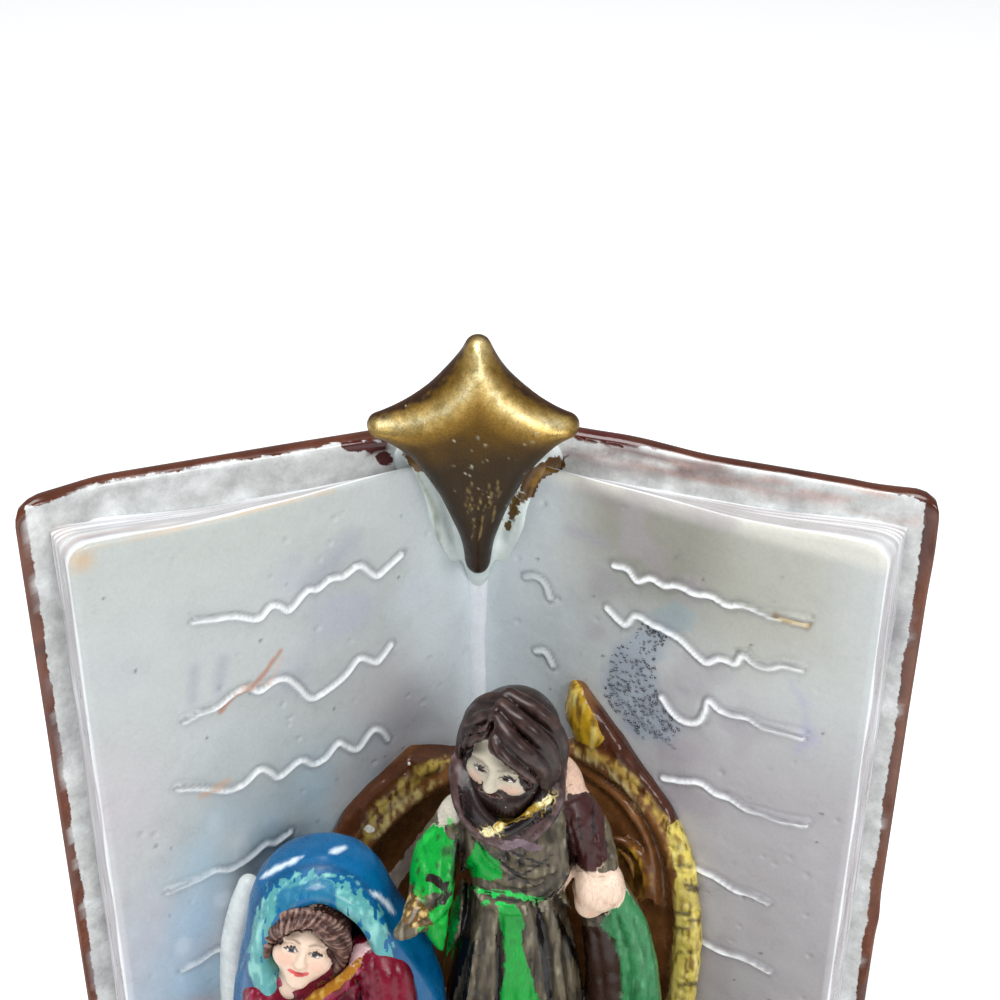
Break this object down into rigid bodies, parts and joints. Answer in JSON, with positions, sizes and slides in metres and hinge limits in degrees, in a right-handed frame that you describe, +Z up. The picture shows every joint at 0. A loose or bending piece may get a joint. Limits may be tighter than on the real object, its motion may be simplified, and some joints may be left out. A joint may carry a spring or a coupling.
{
  "type": "miniature nativity figurine",
  "caption": "Cast resin nativity: an open book behind a standing man, a kneeling woman and a swaddled infant, with a star and a grotto arch.",
  "frame": {"origin": "on the flat underside, in the book's middle plane and under the standing man", "axes": "+X along the book's width to the right of the open pages, +Y towards the spine at the back, +Z up along the spine"},
  "size_m": [0.1198, 0.0706, 0.1216],
  "materials": {
    "painted_resin": "satin",
    "page_paint": "satin",
    "cover_lacquer": "gloss",
    "gilt_paint": "satin",
    "grotto_lacquer": "gloss",
    "robe_paint": "satin",
    "mantle_paint": "gloss",
    "dress_paint": "satin",
    "skin_paint": "satin",
    "ground_paint": "satin"
  },
  "bodies": {
    "root": {"nativity_casting": "painted_resin"}
  },
  "joints": []
}
